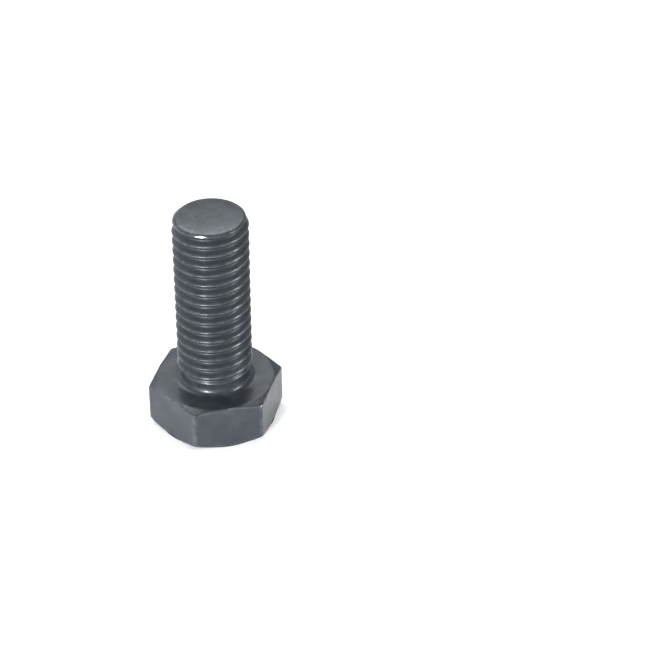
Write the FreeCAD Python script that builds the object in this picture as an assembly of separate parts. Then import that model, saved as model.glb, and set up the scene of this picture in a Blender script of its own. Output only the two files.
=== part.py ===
"""Hex head screw, M12 x 1.75 x 30, threaded to the head, 19 mm across flats.

One cold-headed, thread-rolled steel piece in millimetres. The origin is the centre of the bearing face, under
the head, and +Z runs along the axis from the head to the point. The bolt stands on the top of its head.
"""
import FreeCAD, Part
import math
import os

# Driving dimensions
THREAD_DIAMETER = 12.0
PITCH = 1.75
LENGTH = 30.0              # bearing face to the end of the point
HEAD_HEIGHT = 7.5          # bearing face to the top of the head
ACROSS_FLATS = 19.0
FIRST_CORNER_ANGLE = -109.3    # degrees from +X; the other five corners follow every 60

# Head details
WASHER_FACE_DIAMETER = 18.6
WASHER_FACE_HEIGHT = 0.4
TOP_FLAT_DIAMETER = 0.98 * ACROSS_FLATS
TOP_CHAMFER_ANGLE = 30.0   # from the plane of the head's top
BEARING_EDGE_BREAK = 0.2   # small break on the hexagon's edges beside the bearing face
UNDERHEAD_RADIUS = 1.2

# Thread: ISO 60 degree profile, right-hand
TRIANGLE_HEIGHT = PITCH * math.sqrt(3) / 2
CREST_RADIUS = THREAD_DIAMETER / 2
ROOT_RADIUS = CREST_RADIUS - 17 / 24 * TRIANGLE_HEIGHT
NECK_RADIUS = CREST_RADIUS - 3 / 8 * TRIANGLE_HEIGHT     # the wire's size before rolling
CREST_FLAT = PITCH / 8
THREAD_PHASE = -90.0       # degrees from +X: where the groove's full depth starts
FULL_THREAD_START = 2.5    # height of the groove's middle where its depth is full
RUNOUT_TURNS = 0.9
NECK_TOP = 1.55            # the bare neck ends here and the crests start to rise
CREST_RISE = 1.5

# Point: a steep taper with a well rounded rim and a flat end
POINT_END_RADIUS = 5.55    # where the taper meets the plane of the end, before the rim is rounded
POINT_LENGTH = 1.6
POINT_RIM_RADIUS = 0.6

CREST_SECTORS = 8          # the shank is turned in equal sectors, so that no crest face spans a large angle
OVERCUT = 0.1              # how far the groove cutter reaches past the crests

X_AXIS = FreeCAD.Vector(1, 0, 0)
Z_AXIS = FreeCAD.Vector(0, 0, 1)
ORIGIN = FreeCAD.Vector(0, 0, 0)


def at(radius, height):
    """A point of a turned outline, in the plane through the axis."""
    return FreeCAD.Vector(radius, 0, height)


def turned(edges, sector_count=1):
    """Revolves a closed outline about the axis, whole or in equal sectors, starting half a sector on."""
    outline = Part.Face(Part.Wire(edges))
    sector_angle = 360 / sector_count
    sectors = []
    for index in range(sector_count):
        sector = outline.revolve(ORIGIN, Z_AXIS, sector_angle)
        sector.rotate(ORIGIN, Z_AXIS, (index + 0.5) * sector_angle)
        sectors.append(sector)
    return sectors[0].multiFuse(sectors[1:]) if sector_count > 1 else sectors[0]


def line(start, end):
    return Part.makeLine(start, end)


def shank_blank():
    """The shank before its groove is cut: fillet, neck, rise to the crests, and the point."""
    fillet_top = UNDERHEAD_RADIUS
    fillet_foot = at(NECK_RADIUS + UNDERHEAD_RADIUS, 0)
    fillet_reach = UNDERHEAD_RADIUS * (1 - math.sqrt(0.5))
    fillet_middle = at(NECK_RADIUS + fillet_reach, fillet_reach)
    inside = -WASHER_FACE_HEIGHT
    slope = math.atan2(CREST_RADIUS - POINT_END_RADIUS, POINT_LENGTH)
    rim_reach = POINT_RIM_RADIUS * math.tan((math.pi / 2 - slope) / 2)
    rim_on_flat = at(POINT_END_RADIUS - rim_reach, LENGTH)
    rim_on_cone = at(POINT_END_RADIUS + rim_reach * math.sin(slope), LENGTH - rim_reach * math.cos(slope))
    rim_centre = at(POINT_END_RADIUS - rim_reach, LENGTH - POINT_RIM_RADIUS)
    half_turn = (math.pi / 2 - slope) / 2
    rim_middle = rim_centre + at(math.sin(half_turn), math.cos(half_turn)) * POINT_RIM_RADIUS
    shoulder = [
        at(0, inside),
        at(NECK_RADIUS + UNDERHEAD_RADIUS, inside),
        fillet_foot,
    ]
    flank = [
        at(NECK_RADIUS, fillet_top),
        at(NECK_RADIUS, NECK_TOP),
        at(CREST_RADIUS, NECK_TOP + CREST_RISE),
        at(CREST_RADIUS, LENGTH - POINT_LENGTH),
        rim_on_cone,
    ]
    edges = [line(a, b) for a, b in zip(shoulder, shoulder[1:])]
    edges.append(Part.Arc(fillet_foot, fillet_middle, flank[0]).toShape())
    edges += [line(a, b) for a, b in zip(flank, flank[1:])]
    edges.append(Part.Arc(rim_on_cone, rim_middle, rim_on_flat).toShape())
    edges.append(line(rim_on_flat, at(0, LENGTH)))
    edges.append(line(at(0, LENGTH), shoulder[0]))
    return turned(edges, CREST_SECTORS)


def groove_section():
    """The cutter's section at angle 0 and height 0: the thread groove, carried a little past the crests."""
    spread = math.tan(math.radians(30))
    outer = CREST_RADIUS + OVERCUT
    half_outer = (PITCH - CREST_FLAT) / 2 + OVERCUT * spread
    half_root = half_outer - (outer - ROOT_RADIUS) * spread
    corners = [
        at(outer, -half_outer),
        at(outer, half_outer),
        at(ROOT_RADIUS, half_root),
        at(ROOT_RADIUS, -half_root),
    ]
    return Part.Wire(Part.makePolygon(corners + corners[:1]))


def swept(path):
    return Part.Wire(path).makePipeShell([groove_section()], True, True)


def groove_cutters():
    """One cutter for each turn of the groove, up past the point, and one for the run-out towards the head."""
    turn = swept(Part.makeHelix(PITCH, PITCH, ROOT_RADIUS))
    turn_count = math.ceil((LENGTH - FULL_THREAD_START) / PITCH)
    cutters = []
    for index in range(turn_count + 1):
        cutter = turn.copy()
        cutter.translate(FreeCAD.Vector(0, 0, index * PITCH))
        cutters.append(cutter)
    runout_height = RUNOUT_TURNS * PITCH
    climb = CREST_RADIUS + OVERCUT - ROOT_RADIUS
    taper = math.degrees(math.atan2(climb, runout_height))
    runout = swept(Part.makeHelix(PITCH, runout_height, ROOT_RADIUS, taper))
    runout.rotate(ORIGIN, X_AXIS, 180)
    cutters.append(runout)
    for cutter in cutters:
        cutter.rotate(ORIGIN, Z_AXIS, THREAD_PHASE)
        cutter.translate(FreeCAD.Vector(0, 0, FULL_THREAD_START))
    return cutters


def head():
    """The hexagon with its top chamfer, the edge break on the bearing side, and the washer face."""
    corner_radius = ACROSS_FLATS / math.sqrt(3)
    base = -HEAD_HEIGHT
    corners = []
    for index in range(7):
        angle = math.radians(FIRST_CORNER_ANGLE + 60 * index)
        corners.append(FreeCAD.Vector(corner_radius * math.cos(angle), corner_radius * math.sin(angle), base))
    height = HEAD_HEIGHT - WASHER_FACE_HEIGHT
    prism = Part.Face(Part.makePolygon(corners)).extrude(FreeCAD.Vector(0, 0, height))
    bearing_edges = [edge for edge in prism.Edges if edge.BoundBox.ZMin > base + height / 2]
    prism = prism.makeChamfer(BEARING_EDGE_BREAK, bearing_edges)
    top_radius = TOP_FLAT_DIAMETER / 2
    outside = corner_radius + 1
    chamfer_top = base + (outside - top_radius) * math.tan(math.radians(TOP_CHAMFER_ANGLE))
    outline = [
        at(0, base),
        at(top_radius, base),
        at(outside, chamfer_top),
        at(outside, 0),
        at(0, 0),
        at(0, base),
    ]
    envelope = turned([line(a, b) for a, b in zip(outline, outline[1:])])
    washer_radius = WASHER_FACE_DIAMETER / 2
    ring = [
        at(0, -2 * WASHER_FACE_HEIGHT),
        at(washer_radius, -2 * WASHER_FACE_HEIGHT),
        at(washer_radius, 0),
        at(0, 0),
        at(0, -2 * WASHER_FACE_HEIGHT),
    ]
    washer_face = turned([line(a, b) for a, b in zip(ring, ring[1:])])
    return prism.common(envelope).fuse(washer_face)


def flat_top_first(solid):
    """The same solid, its faces listed from the head's flat top up: an inside test aims at the first one."""
    faces = sorted(solid.Faces, key=lambda face: face.CenterOfMass.z)
    return Part.makeSolid(Part.Shell(faces))


def hex_bolt():
    bolt = shank_blank().cut(groove_cutters()).fuse(head())
    return flat_top_first(bolt.Solids[0])


def main():
    os.makedirs("parts", exist_ok=True)
    bolt = hex_bolt()
    print("valid", bolt.isValid(), "solids", len(bolt.Solids), "volume", round(bolt.Volume, 1), "mm3")
    bolt.exportStep("parts/hex_bolt.step")


main()
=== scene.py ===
"""Looks of the M12 x 30 hex bolt: one closed, rounded steel surface with a rolled thread, on a pale floor."""
import math

import bmesh
import bpy
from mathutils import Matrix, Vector, noise


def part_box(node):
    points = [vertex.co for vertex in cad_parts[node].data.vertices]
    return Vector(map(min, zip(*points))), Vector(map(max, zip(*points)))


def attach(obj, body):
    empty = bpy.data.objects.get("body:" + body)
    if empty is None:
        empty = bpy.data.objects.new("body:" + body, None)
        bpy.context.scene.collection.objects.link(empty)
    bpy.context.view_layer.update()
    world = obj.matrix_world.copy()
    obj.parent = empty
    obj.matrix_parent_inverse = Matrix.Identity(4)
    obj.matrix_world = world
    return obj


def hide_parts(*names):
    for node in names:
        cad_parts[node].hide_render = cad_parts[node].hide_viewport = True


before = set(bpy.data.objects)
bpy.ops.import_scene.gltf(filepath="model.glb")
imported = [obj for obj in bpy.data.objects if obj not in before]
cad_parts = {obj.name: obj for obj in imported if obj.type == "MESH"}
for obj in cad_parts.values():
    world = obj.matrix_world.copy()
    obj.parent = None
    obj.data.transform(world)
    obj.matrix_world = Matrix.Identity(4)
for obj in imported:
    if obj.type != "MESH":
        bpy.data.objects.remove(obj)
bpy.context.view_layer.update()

MM = 0.001
TURN = 2 * math.pi
SIXTH = TURN / 6

# Head, in millimetres and radians. Its top and the point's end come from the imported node's box.
LOW, HIGH = (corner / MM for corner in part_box("hex_bolt"))
HEAD_TOP = LOW.z
POINT_END = HIGH.z
ACROSS_FLATS = 19.0
CORNER_ANGLE = math.radians(-109.3)
CORNER_ROUNDING = 0.5
TOP_FLAT_RADIUS = 9.31
TOP_OUTLINE_START = TOP_FLAT_RADIUS - 1     # rings inside this radius are plain circles
TOP_CHAMFER = math.radians(30)
SHOULDER_SLOPE = math.radians(17)
WASHER_RADIUS = 9.3
NECK_RADIUS = 5.43
FILLET_RADIUS = 1.2

# Thread and point
PITCH = 1.75
CREST_RADIUS = 6.0
FLANK_SLOPE = 1 / math.tan(math.radians(30))
GROOVE_HALF_WIDTH = PITCH * 7 / 16
ROOT_ROUNDING = 0.34
CREST_ROUNDING = 0.45
FRONT = math.radians(-90)
FULL_THREAD_START = 2.5
RUNOUT_HEIGHT = 1.575
RUNOUT_CLIMB = 1.17
NECK_TOP = 1.55
CREST_RISE = 1.5
POINT_LENGTH = 1.6
POINT_END_RADIUS = 5.55
RIM_SETBACK = 0.7
DOME_DROP = 0.15
NICK_ACROSS = math.radians(14.5)
NICK_UP = math.radians(24.5)
NICK_DEPTH = 0.09

# Mesh density
COLUMNS_PER_FACE = 32
CORNER_CROWDING = 0.78
ROWS_PER_TURN = 20
CREST_CROWDING = 0.35
THREAD_LOW = 1.4
THREAD_HIGH = 29.3
ROW_GAP = 0.004            # a helical row nearer than this to an end ring joins it
RIM_STEPS = 10


def smooth_min(a, b, blend):
    overlap = max(blend - abs(a - b), 0) / blend
    return min(a, b) - overlap * overlap * blend / 4


def ramp(value, start, end):
    """0 before start, 1 after end, and smooth between."""
    t = min(max((value - start) / (end - start), 0), 1)
    return t * t * (3 - 2 * t)


def column_angles():
    """The grid's angles about the axis, closer together at the hexagon's corners."""
    angles = []
    for face in range(6):
        for step in range(COLUMNS_PER_FACE):
            even = step / COLUMNS_PER_FACE
            crowded = even - CORNER_CROWDING * math.sin(TURN * even) / TURN
            angles.append(CORNER_ANGLE + SIXTH * (face + crowded))
    return angles


def corner_distance(angle):
    """How far round the axis this angle is from the nearest corner of the hexagon."""
    offset = (angle - CORNER_ANGLE) % SIXTH
    return min(offset, SIXTH - offset)


def hexagon_radius(angle):
    """Distance from the axis to the hexagon's side, whose corners are rounded."""
    offset = corner_distance(angle)
    apothem = ACROSS_FLATS / 2
    half_face = SIXTH / 2
    centre = (apothem - CORNER_ROUNDING) / math.cos(half_face)
    tangent = math.atan2(
        CORNER_ROUNDING * math.sin(half_face),
        centre + CORNER_ROUNDING * math.cos(half_face),
    )
    if offset < tangent:
        across = centre * math.sin(offset)
        return centre * math.cos(offset) + math.sqrt(CORNER_ROUNDING**2 - across**2)
    return apothem / math.cos(half_face - offset)


def rounded_outline(start, corners, end):
    """Points along a polyline in (radius, height), each corner eased over its setback.

    A corner is (radius, height, setback, steps, rows): rows are extra points on the run that leads to it.
    """
    points = [Vector(start)]
    knots = [Vector(start)] + [Vector(c[:2]) for c in corners] + [Vector(end)]
    for index, (_, _, setback, steps, rows) in enumerate(corners, 1):
        before, knot, after = knots[index - 1 : index + 2]
        enter = knot + (before - knot).normalized() * setback
        leave = knot + (after - knot).normalized() * setback
        last = points[-1]
        points += [last.lerp(enter, (row + 1) / (rows + 1)) for row in range(rows)]
        for step in range(steps + 1):
            t = step / steps
            points.append(enter * (1 - t) ** 2 + knot * 2 * t * (1 - t) + leave * t**2)
    return points


def shoulder_height(side):
    """Height of the hexagon's edge on the bearing side, which falls away outside the washer face."""
    return -(side - WASHER_RADIUS) * math.tan(SHOULDER_SLOPE)


def chamfer_height(side):
    """Height of the hexagon's edge at the chamfer of the head's top."""
    return HEAD_TOP + (side - TOP_FLAT_RADIUS) * math.tan(TOP_CHAMFER)


def head_outline(angle):
    """The head's outline at one angle, from the flat of its top to the neck."""
    side = hexagon_radius(angle)
    corners = [
        (TOP_FLAT_RADIUS, HEAD_TOP, 0.30, 5, 1),
        (side, chamfer_height(side), 0.20, 5, 2),
        (side, shoulder_height(side), 0.30, 6, 8),
        (WASHER_RADIUS, 0.0, 0.14, 4, 2),
        (NECK_RADIUS, 0.0, FILLET_RADIUS, 10, 3),
    ]
    return rounded_outline((TOP_OUTLINE_START, HEAD_TOP), corners, (NECK_RADIUS, THREAD_LOW))


def groove_radius(angle, height):
    """Radius of the thread groove's V at this place, with its run-out towards the head."""
    climb_per_turn = PITCH * (angle - FRONT) / TURN
    first_groove = FULL_THREAD_START + climb_per_turn
    across = (height - first_groove + PITCH / 2) % PITCH - PITCH / 2
    centre_height = height - across
    lift = RUNOUT_CLIMB * min(max((FULL_THREAD_START - centre_height) / RUNOUT_HEIGHT, 0), 1)
    depth = math.hypot(GROOVE_HALF_WIDTH, ROOT_ROUNDING) - math.hypot(across, ROOT_ROUNDING)
    return CREST_RADIUS - FLANK_SLOPE * depth + lift


def taper_radius(height):
    return POINT_END_RADIUS + (CREST_RADIUS - POINT_END_RADIUS) * (POINT_END - height) / POINT_LENGTH


def blank_radius(height):
    """Radius of the shank without its groove: neck, rise to the crests, crests, taper of the point."""
    rise = ramp(height, NECK_TOP, NECK_TOP + CREST_RISE)
    shank = NECK_RADIUS + (CREST_RADIUS - NECK_RADIUS) * rise
    return smooth_min(shank, taper_radius(height), 0.1)


def thread_radius(angle, height):
    return smooth_min(blank_radius(height), groove_radius(angle, height), CREST_ROUNDING)


def point_rows(angle):
    """The point's rim and domed end at one angle, from the taper to near the axis."""
    cone = Vector((taper_radius(THREAD_HIGH), THREAD_HIGH))
    corner = Vector((POINT_END_RADIUS, POINT_END - DOME_DROP))
    flat = Vector((POINT_END_RADIUS - RIM_SETBACK, POINT_END - DOME_DROP))
    rows = []
    for step in range(1, RIM_STEPS + 1):
        t = step / RIM_STEPS
        place = cone * (1 - t) ** 2 + corner * 2 * t * (1 - t) + flat * t**2
        groove = groove_radius(angle, place.y)
        rows.append(Vector((smooth_min(place.x, groove, 0.05), place.y)))
    for share in (0.95, 0.9, 0.85, 0.8, 0.7, 0.6, 0.5, 0.4, 0.3, 0.2, 0.1):
        rows.append(Vector((flat.x * share, POINT_END - DOME_DROP * share**3)))
    return rows


def thread_phases():
    """Heights of the helical rows within one pitch, closer together at the crest and the root."""
    phases = []
    for row in range(ROWS_PER_TURN):
        even = row / ROWS_PER_TURN
        crowded = even - CREST_CROWDING * math.sin(2 * TURN * even) / (2 * TURN)
        phases.append(PITCH * crowded)
    return phases


class SurfaceBuilder:
    """Collects the closed surface: flat rings for the head and the point, helical rows for the thread."""

    def __init__(self):
        self.mesh = bmesh.new()
        # Per point: how worn the surface is, and on the point's nick a painted highlight.
        self.wear_and_highlight = self.mesh.verts.layers.float.new("wear_and_highlight")
        # Per point: how much painted shade darkens the colour in the thread grooves.
        self.painted_groove_shade = self.mesh.verts.layers.float.new("painted_groove_shade")
        self.angles = column_angles()

    def vertex(self, angle, radius, height, wear_and_highlight=0.0, painted_groove_shade=0.0):
        place = Vector((radius * math.cos(angle), radius * math.sin(angle), height))
        made = self.mesh.verts.new(place * MM)
        made[self.wear_and_highlight] = wear_and_highlight
        made[self.painted_groove_shade] = painted_groove_shade
        return made

    def ring(self, radii_heights_wear):
        return [
            self.vertex(angle, *values)
            for angle, values in zip(self.angles, radii_heights_wear)
        ]

    def face(self, *corners):
        unique = []
        for corner in corners:
            if corner not in unique:
                unique.append(corner)
        if len(unique) > 2:
            self.mesh.faces.new(unique)

    def join(self, lower, upper):
        count = len(lower)
        for index in range(count):
            after = (index + 1) % count
            self.face(lower[index], lower[after], upper[after], upper[index])

    def cap(self, ring, height, upward):
        centre = self.vertex(0, 0, height)
        count = len(ring)
        for index in range(count):
            pair = (ring[index], ring[(index + 1) % count])
            self.face(*(pair if upward else pair[::-1]), centre)


def edge_wear(angle, radius, height):
    """How rubbed the head is here: its long edges most, its corners too."""
    corner = 1 - ramp(corner_distance(angle), math.radians(0.6), math.radians(3.0))
    side = hexagon_radius(angle)
    on_side = 1 - ramp(side - radius, 0.05, 0.3)
    low_edge = 1 - ramp(abs(height - chamfer_height(side)), 0.05, 0.3)
    high_edge = 1 - ramp(abs(height - shoulder_height(side)), 0.05, 0.3)
    return max(0.35 * corner, 0.5 * low_edge, 0.8 * high_edge) * on_side


def build_head(builder):
    """Rings from the centre of the head's top, over chamfer, sides and washer face, to the neck."""
    outlines = [head_outline(angle) for angle in builder.angles]
    rings = []
    for share in (0.2, 0.4, 0.6, 0.8):
        rings.append(builder.ring([(TOP_OUTLINE_START * share, HEAD_TOP, 0.0)] * len(builder.angles)))
    for row in range(len(outlines[0])):
        values = []
        for angle, outline in zip(builder.angles, outlines):
            place = outline[row]
            values.append((place.x, place.y, edge_wear(angle, place.x, place.y)))
        rings.append(builder.ring(values))
    builder.cap(rings[0], HEAD_TOP, upward=False)
    for lower, upper in zip(rings, rings[1:]):
        builder.join(lower, upper)
    return rings[-1]


def build_thread(builder, low_ring):
    """Helical rows between the neck and the point. Rows end where they meet the flat ring at either end."""
    angles = builder.angles
    high_ring = builder.ring([(thread_radius(a, THREAD_HIGH), THREAD_HIGH, 0.2) for a in angles])
    phases = thread_phases()
    seam = angles[0]
    first_turn = math.floor((THREAD_LOW - PITCH) / PITCH) - 1
    last_turn = math.ceil(THREAD_HIGH / PITCH) + 1
    seam_height = PITCH * (seam - FRONT) / TURN
    row_count = (last_turn - first_turn) * ROWS_PER_TURN
    columns = []
    for column, angle in enumerate(angles):
        share = (angle - seam) / TURN
        strip = []
        for row in range(row_count + ROWS_PER_TURN):
            turn, place = divmod(row, ROWS_PER_TURN)
            height = (first_turn + turn + share) * PITCH + phases[place] + seam_height
            if height <= THREAD_LOW + ROW_GAP:
                strip.append(low_ring[column])
            elif height >= THREAD_HIGH - ROW_GAP:
                strip.append(high_ring[column])
            else:
                radius = thread_radius(angle, height)
                wear_and_highlight = 0.5 * ramp(radius, CREST_RADIUS - 0.4, CREST_RADIUS - 0.05)
                # Painted shade: the deeper in the groove, the darker the colour, faded out near the neck.
                painted_groove_shade = 1 - ramp(radius, CREST_RADIUS - 0.95, CREST_RADIUS - 0.45)
                strip.append(builder.vertex(angle, radius, height, wear_and_highlight, painted_groove_shade * ramp(height, 1.6, 3.0)))
        columns.append(strip)
    columns.append(columns[0][ROWS_PER_TURN:] + [high_ring[0]] * ROWS_PER_TURN)
    for left, right in zip(columns, columns[1:]):
        for row in range(row_count - 1):
            builder.face(left[row], right[row], right[row + 1], left[row + 1])
    return high_ring


def build_point(builder, ring):
    """The rounded rim of the point and its slightly domed end."""
    rows = [point_rows(angle) for angle in builder.angles]
    for row in range(len(rows[0])):
        wear_and_highlight_level = 0.3 if row < RIM_STEPS else 0.1
        upper = builder.ring([(r[row].x, r[row].y, wear_and_highlight_level) for r in rows])
        builder.join(ring, upper)
        ring = upper
    builder.cap(ring, POINT_END, upward=True)


def roughen(mesh):
    """Forging, shearing and handling leave the surface uneven: each point moves along its normal."""
    wear_and_highlight = mesh.verts.layers.float["wear_and_highlight"]
    mesh.normal_update()
    moves = []
    for vert in mesh.verts:
        place = vert.co / MM
        slow = noise.noise(place * 0.55)
        quick = noise.noise(place * 2.1 + Vector((7, 3, 1)))
        if place.z > POINT_END - 0.5:
            amount = 0.012 * slow + 0.005 * quick
        elif place.z > 1.0:
            amount = 0.010 * slow + 0.006 * quick
        else:
            amount = 0.022 * slow + 0.008 * quick
        dent = ramp(noise.noise(place * 1.3 + Vector((2, 9, 4))), 0.25, 0.6)
        amount -= 0.09 * dent * vert[wear_and_highlight] * (1 if place.z < 1.0 else 0.3)
        flat_top = place.z < HEAD_TOP + 0.02
        moves.append(0.0 if flat_top else amount)
    for vert, amount in zip(mesh.verts, moves):
        vert.co += vert.normal * amount * MM


def nick_rim(mesh):
    """A small worn flat on the point's rim, a little left of the front, that catches the light; its colour is
    lightened to the full as a painted highlight.
    """
    across, up = FRONT - NICK_ACROSS, NICK_UP
    facing = Vector((math.cos(across) * math.cos(up), math.sin(across) * math.cos(up), math.sin(up)))
    wear_and_highlight = mesh.verts.layers.float["wear_and_highlight"]
    reach = max(vert.co.dot(facing) for vert in mesh.verts) - NICK_DEPTH * MM
    for vert in mesh.verts:
        excess = vert.co.dot(facing) - reach
        if excess > 0:
            vert.co -= facing * excess
            # Painted highlight: the flat gets the full wear value, so the lightest colour.
            vert[wear_and_highlight] = 1.0


def make_bolt():
    builder = SurfaceBuilder()
    neck_ring = build_head(builder)
    rim_ring = build_thread(builder, neck_ring)
    build_point(builder, rim_ring)
    roughen(builder.mesh)
    nick_rim(builder.mesh)
    data = bpy.data.meshes.new("hex_bolt_steel")
    builder.mesh.to_mesh(data)
    builder.mesh.free()
    data.shade_smooth()
    bolt = bpy.data.objects.new("hex_bolt_steel", data)
    bpy.context.scene.collection.objects.link(bolt)
    weighted = bolt.modifiers.new("even_normals", "WEIGHTED_NORMAL")
    weighted.weight = 60
    return bolt


class Nodes:
    """Short calls for a node tree."""

    def __init__(self, tree):
        self.tree = tree
        tree.nodes.clear()

    def add(self, kind, **values):
        node = self.tree.nodes.new(kind)
        for name, value in values.items():
            if hasattr(node, name):
                setattr(node, name, value)
            else:
                node.inputs[name.replace("_", " ")].default_value = value
        return node

    def link(self, source, target):
        self.tree.links.new(source, target)

    def noise(self, scale, detail=4.0, roughness=0.55, vector=None):
        node = self.add("ShaderNodeTexNoise", Scale=scale, Detail=detail, Roughness=roughness)
        if vector is not None:
            self.link(vector, node.inputs["Vector"])
        return node.outputs["Fac"]

    def math(self, operation, first, second=0.0):
        node = self.add("ShaderNodeMath", operation=operation)
        for socket, value in zip(node.inputs, (first, second)):
            if isinstance(value, (int, float)):
                socket.default_value = value
            else:
                self.link(value, socket)
        return node.outputs["Value"]

    def spread(self, value, low, high, to_low=0.0, to_high=1.0):
        node = self.add("ShaderNodeMapRange")
        self.link(value, node.inputs["Value"])
        numbers = {"From Min": low, "From Max": high, "To Min": to_low, "To Max": to_high}
        for name, number in numbers.items():
            node.inputs[name].default_value = number
        return node.outputs["Result"]

    def blend(self, factor, first, second):
        node = self.add("ShaderNodeMix", data_type="RGBA")
        for socket, value in zip((node.inputs[0], node.inputs[6], node.inputs[7]), (factor, first, second)):
            if isinstance(value, tuple):
                socket.default_value = (*value, 1.0)
            elif isinstance(value, (int, float)):
                socket.default_value = value
            else:
                self.link(value, socket)
        return node.outputs[2]


def black_steel():
    """Oiled black-oxide steel: slate grey, mottled and streaked, lighter on worn edges, with a painted
    highlight on the point's nick and painted shade darker in the thread grooves.
    """
    material = bpy.data.materials.new("black_steel")
    material.use_nodes = True
    n = Nodes(material.node_tree)
    output = n.add("ShaderNodeOutputMaterial")
    shader = n.add("ShaderNodeBsdfPrincipled")
    shader.inputs["Metallic"].default_value = 0.4
    shader.inputs["Coat Weight"].default_value = 0.06
    shader.inputs["Coat Roughness"].default_value = 0.15
    place = n.add("ShaderNodeTexCoord").outputs["Object"]
    stretched = n.add("ShaderNodeMapping")
    stretched.inputs["Scale"].default_value = (1.0, 1.0, 0.12)
    n.link(place, stretched.inputs["Vector"])
    mottle = n.noise(420, 5.0, 0.6, place)
    patches = n.noise(110, 3.0, 0.5, place)
    scuffs = n.noise(900, 3.0, 0.6, place)
    streaks = n.noise(1500, 4.0, 0.6, stretched.outputs["Vector"])
    grain = n.noise(5200, 3.0, 0.6, place)
    wear_and_highlight = n.add("ShaderNodeAttribute", attribute_name="wear_and_highlight").outputs["Fac"]

    cool = n.blend(n.spread(patches, 0.35, 0.65), (0.044, 0.053, 0.063), (0.058, 0.065, 0.080))
    dark = n.blend(n.spread(mottle, 0.38, 0.64), (0.037, 0.044, 0.052), cool)
    # The wear layer lightens worn edges and crests, and gives the point's nick a painted highlight.
    wear_and_highlight_level = n.math("MULTIPLY", wear_and_highlight, n.spread(scuffs, 0.42, 0.60, 0.15, 1.0))
    colour = n.blend(wear_and_highlight_level, dark, (0.150, 0.160, 0.172))
    # Painted shade: the colour is darkened towards near-black deep in the thread grooves.
    painted_groove_shade = n.add("ShaderNodeAttribute", attribute_name="painted_groove_shade").outputs["Fac"]
    n.link(n.blend(painted_groove_shade, colour, (0.028, 0.033, 0.039)), shader.inputs["Base Color"])

    satin = n.math("ADD", n.spread(mottle, 0.3, 0.7, 0.29, 0.37), n.spread(streaks, 0.35, 0.7, -0.03, 0.05))
    polished = n.math("SUBTRACT", satin, n.math("MULTIPLY", wear_and_highlight, 0.06))
    n.link(n.math("ADD", polished, n.math("MULTIPLY", painted_groove_shade, 0.16)), shader.inputs["Roughness"])

    height = n.math("ADD", n.math("MULTIPLY", mottle, 0.6), n.math("MULTIPLY", grain, 0.15))
    height = n.math("ADD", height, n.math("MULTIPLY", streaks, 0.25))
    bump = n.add("ShaderNodeBump", Strength=0.4, Distance=0.00004)
    n.link(height, bump.inputs["Height"])
    n.link(bump.outputs["Normal"], shader.inputs["Normal"])
    n.link(shader.outputs["BSDF"], output.inputs["Surface"])
    return material


def floor_material():
    material = bpy.data.materials.new("pale_floor")
    material.use_nodes = True
    n = Nodes(material.node_tree)
    output = n.add("ShaderNodeOutputMaterial")
    shader = n.add("ShaderNodeBsdfPrincipled", Roughness=0.9)
    fine = n.noise(60, 3.0)
    white = n.blend(n.spread(fine, 0.3, 0.7), (0.90, 0.90, 0.90), (0.93, 0.93, 0.93))
    n.link(white, shader.inputs["Base Color"])
    shader.inputs["Specular IOR Level"].default_value = 0.1
    shader.inputs["Emission Color"].default_value = (0.97, 0.985, 1.0, 1.0)
    shader.inputs["Emission Strength"].default_value = 0.3
    n.link(shader.outputs["BSDF"], output.inputs["Surface"])
    return material


def make_floor():
    size = 3.0
    data = bpy.data.meshes.new("floor")
    level = HEAD_TOP * MM
    corners = [(-size, -size, level), (size, -size, level), (size, size, level), (-size, size, level)]
    data.from_pydata(corners, [], [(0, 1, 2, 3)])
    floor = bpy.data.objects.new("floor", data)
    data.materials.append(floor_material())
    bpy.context.scene.collection.objects.link(floor)


def towards(azimuth, elevation, distance):
    """A place seen from the bolt's middle: azimuth 0 is in front, along -Y, and 90 is along +X."""
    a, e = math.radians(azimuth), math.radians(elevation)
    direction = Vector((math.sin(a) * math.cos(e), -math.cos(a) * math.cos(e), math.sin(e)))
    return Vector((0, 0, 0.01)) + direction * distance


def softbox(name, azimuth, elevation, distance, width, height, power):
    light = bpy.data.lights.new(name, "AREA")
    light.shape = "RECTANGLE"
    light.size = width
    light.size_y = height
    light.energy = power
    lamp = bpy.data.objects.new(name, light)
    lamp.location = towards(azimuth, elevation, distance)
    lamp.rotation_mode = "QUATERNION"
    lamp.rotation_quaternion = (lamp.location - Vector((0, 0, 0.01))).to_track_quat("Z", "Y")
    bpy.context.scene.collection.objects.link(lamp)


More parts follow.
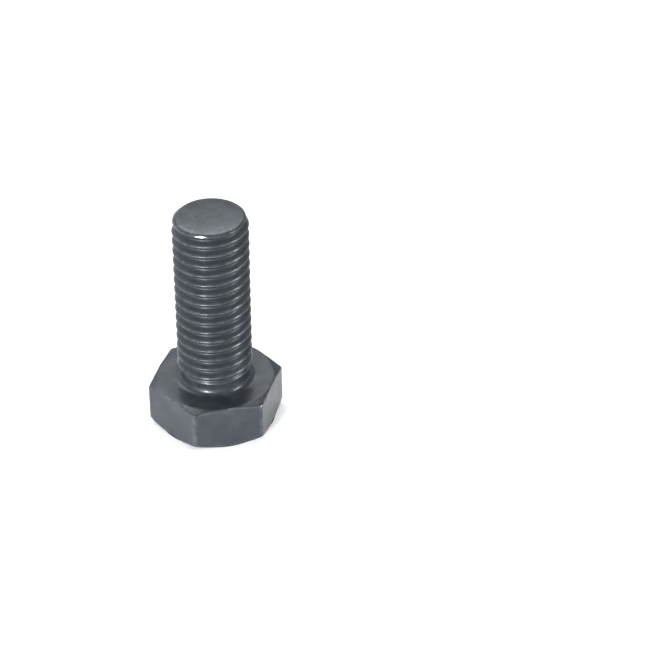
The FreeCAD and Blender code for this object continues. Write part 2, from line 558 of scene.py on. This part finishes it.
def make_world():
    """A pale studio: white to the camera, and as light brighter behind and to the left than in front."""
    world = bpy.data.worlds.new("studio")
    bpy.context.scene.world = world
    world.use_nodes = True
    n = Nodes(world.node_tree)
    direction = n.add("ShaderNodeTexCoord").outputs["Generated"]
    parts = n.add("ShaderNodeSeparateXYZ")
    n.link(direction, parts.inputs["Vector"])
    back = n.spread(parts.outputs["Y"], -0.6, 0.8, 0.24, 0.52)
    left = n.spread(parts.outputs["X"], -1.0, 0.2, 0.5, 0.0)
    overhead = n.spread(parts.outputs["Z"], 0.55, 0.95, 1.0, 0.3)
    glow = n.math("MULTIPLY", n.math("ADD", back, left), overhead)
    ambient = n.add("ShaderNodeBackground", Color=(0.93, 0.97, 1.0, 1.0))
    n.link(glow, ambient.inputs["Strength"])
    seen = n.add("ShaderNodeBackground", Color=(1.0, 1.0, 1.0, 1.0), Strength=1.0)
    rays = n.add("ShaderNodeLightPath")
    mix = n.add("ShaderNodeMixShader")
    n.link(rays.outputs["Is Camera Ray"], mix.inputs["Fac"])
    n.link(ambient.outputs["Background"], mix.inputs[1])
    n.link(seen.outputs["Background"], mix.inputs[2])
    output = n.add("ShaderNodeOutputWorld")
    n.link(mix.outputs["Shader"], output.inputs["Surface"])


def make_lights():
    softbox("low_key", -29, 12, 0.6, 0.09, 0.12, 4.8)
    softbox("right_fill", 70, 25, 0.6, 0.10, 0.20, 1.8)
    softbox("overhead", -165, 58, 1.0, 0.9, 0.7, 7.0)


# Camera: place in metres, looking down at the bolt and a little to its right
LENS = 115.53
SHIFT_X = 0.0
SHIFT_Y = 0.0
CAMERA_PLACE = Vector((0.0, -0.26741, 0.19630))
CAMERA_YAW = math.radians(3.668)
CAMERA_PITCH = math.radians(34.906)


def make_camera():
    data = bpy.data.cameras.new("camera")
    data.sensor_width = 36.0
    data.lens = LENS
    data.shift_x = SHIFT_X
    data.shift_y = SHIFT_Y
    data.clip_start = 0.01
    data.clip_end = 20.0
    camera = bpy.data.objects.new("camera", data)
    camera.location = CAMERA_PLACE
    ahead = Vector((
        math.sin(CAMERA_YAW) * math.cos(CAMERA_PITCH),
        math.cos(CAMERA_YAW) * math.cos(CAMERA_PITCH),
        -math.sin(CAMERA_PITCH),
    ))
    camera.rotation_mode = "QUATERNION"
    camera.rotation_quaternion = ahead.to_track_quat("-Z", "Y")
    bpy.context.scene.collection.objects.link(camera)
    bpy.context.scene.camera = camera


bolt = make_bolt()
bolt.data.materials.append(black_steel())
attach(bolt, "root")
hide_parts("hex_bolt")
make_floor()
make_world()
make_lights()
make_camera()
bpy.context.scene.view_settings.view_transform = "Standard"
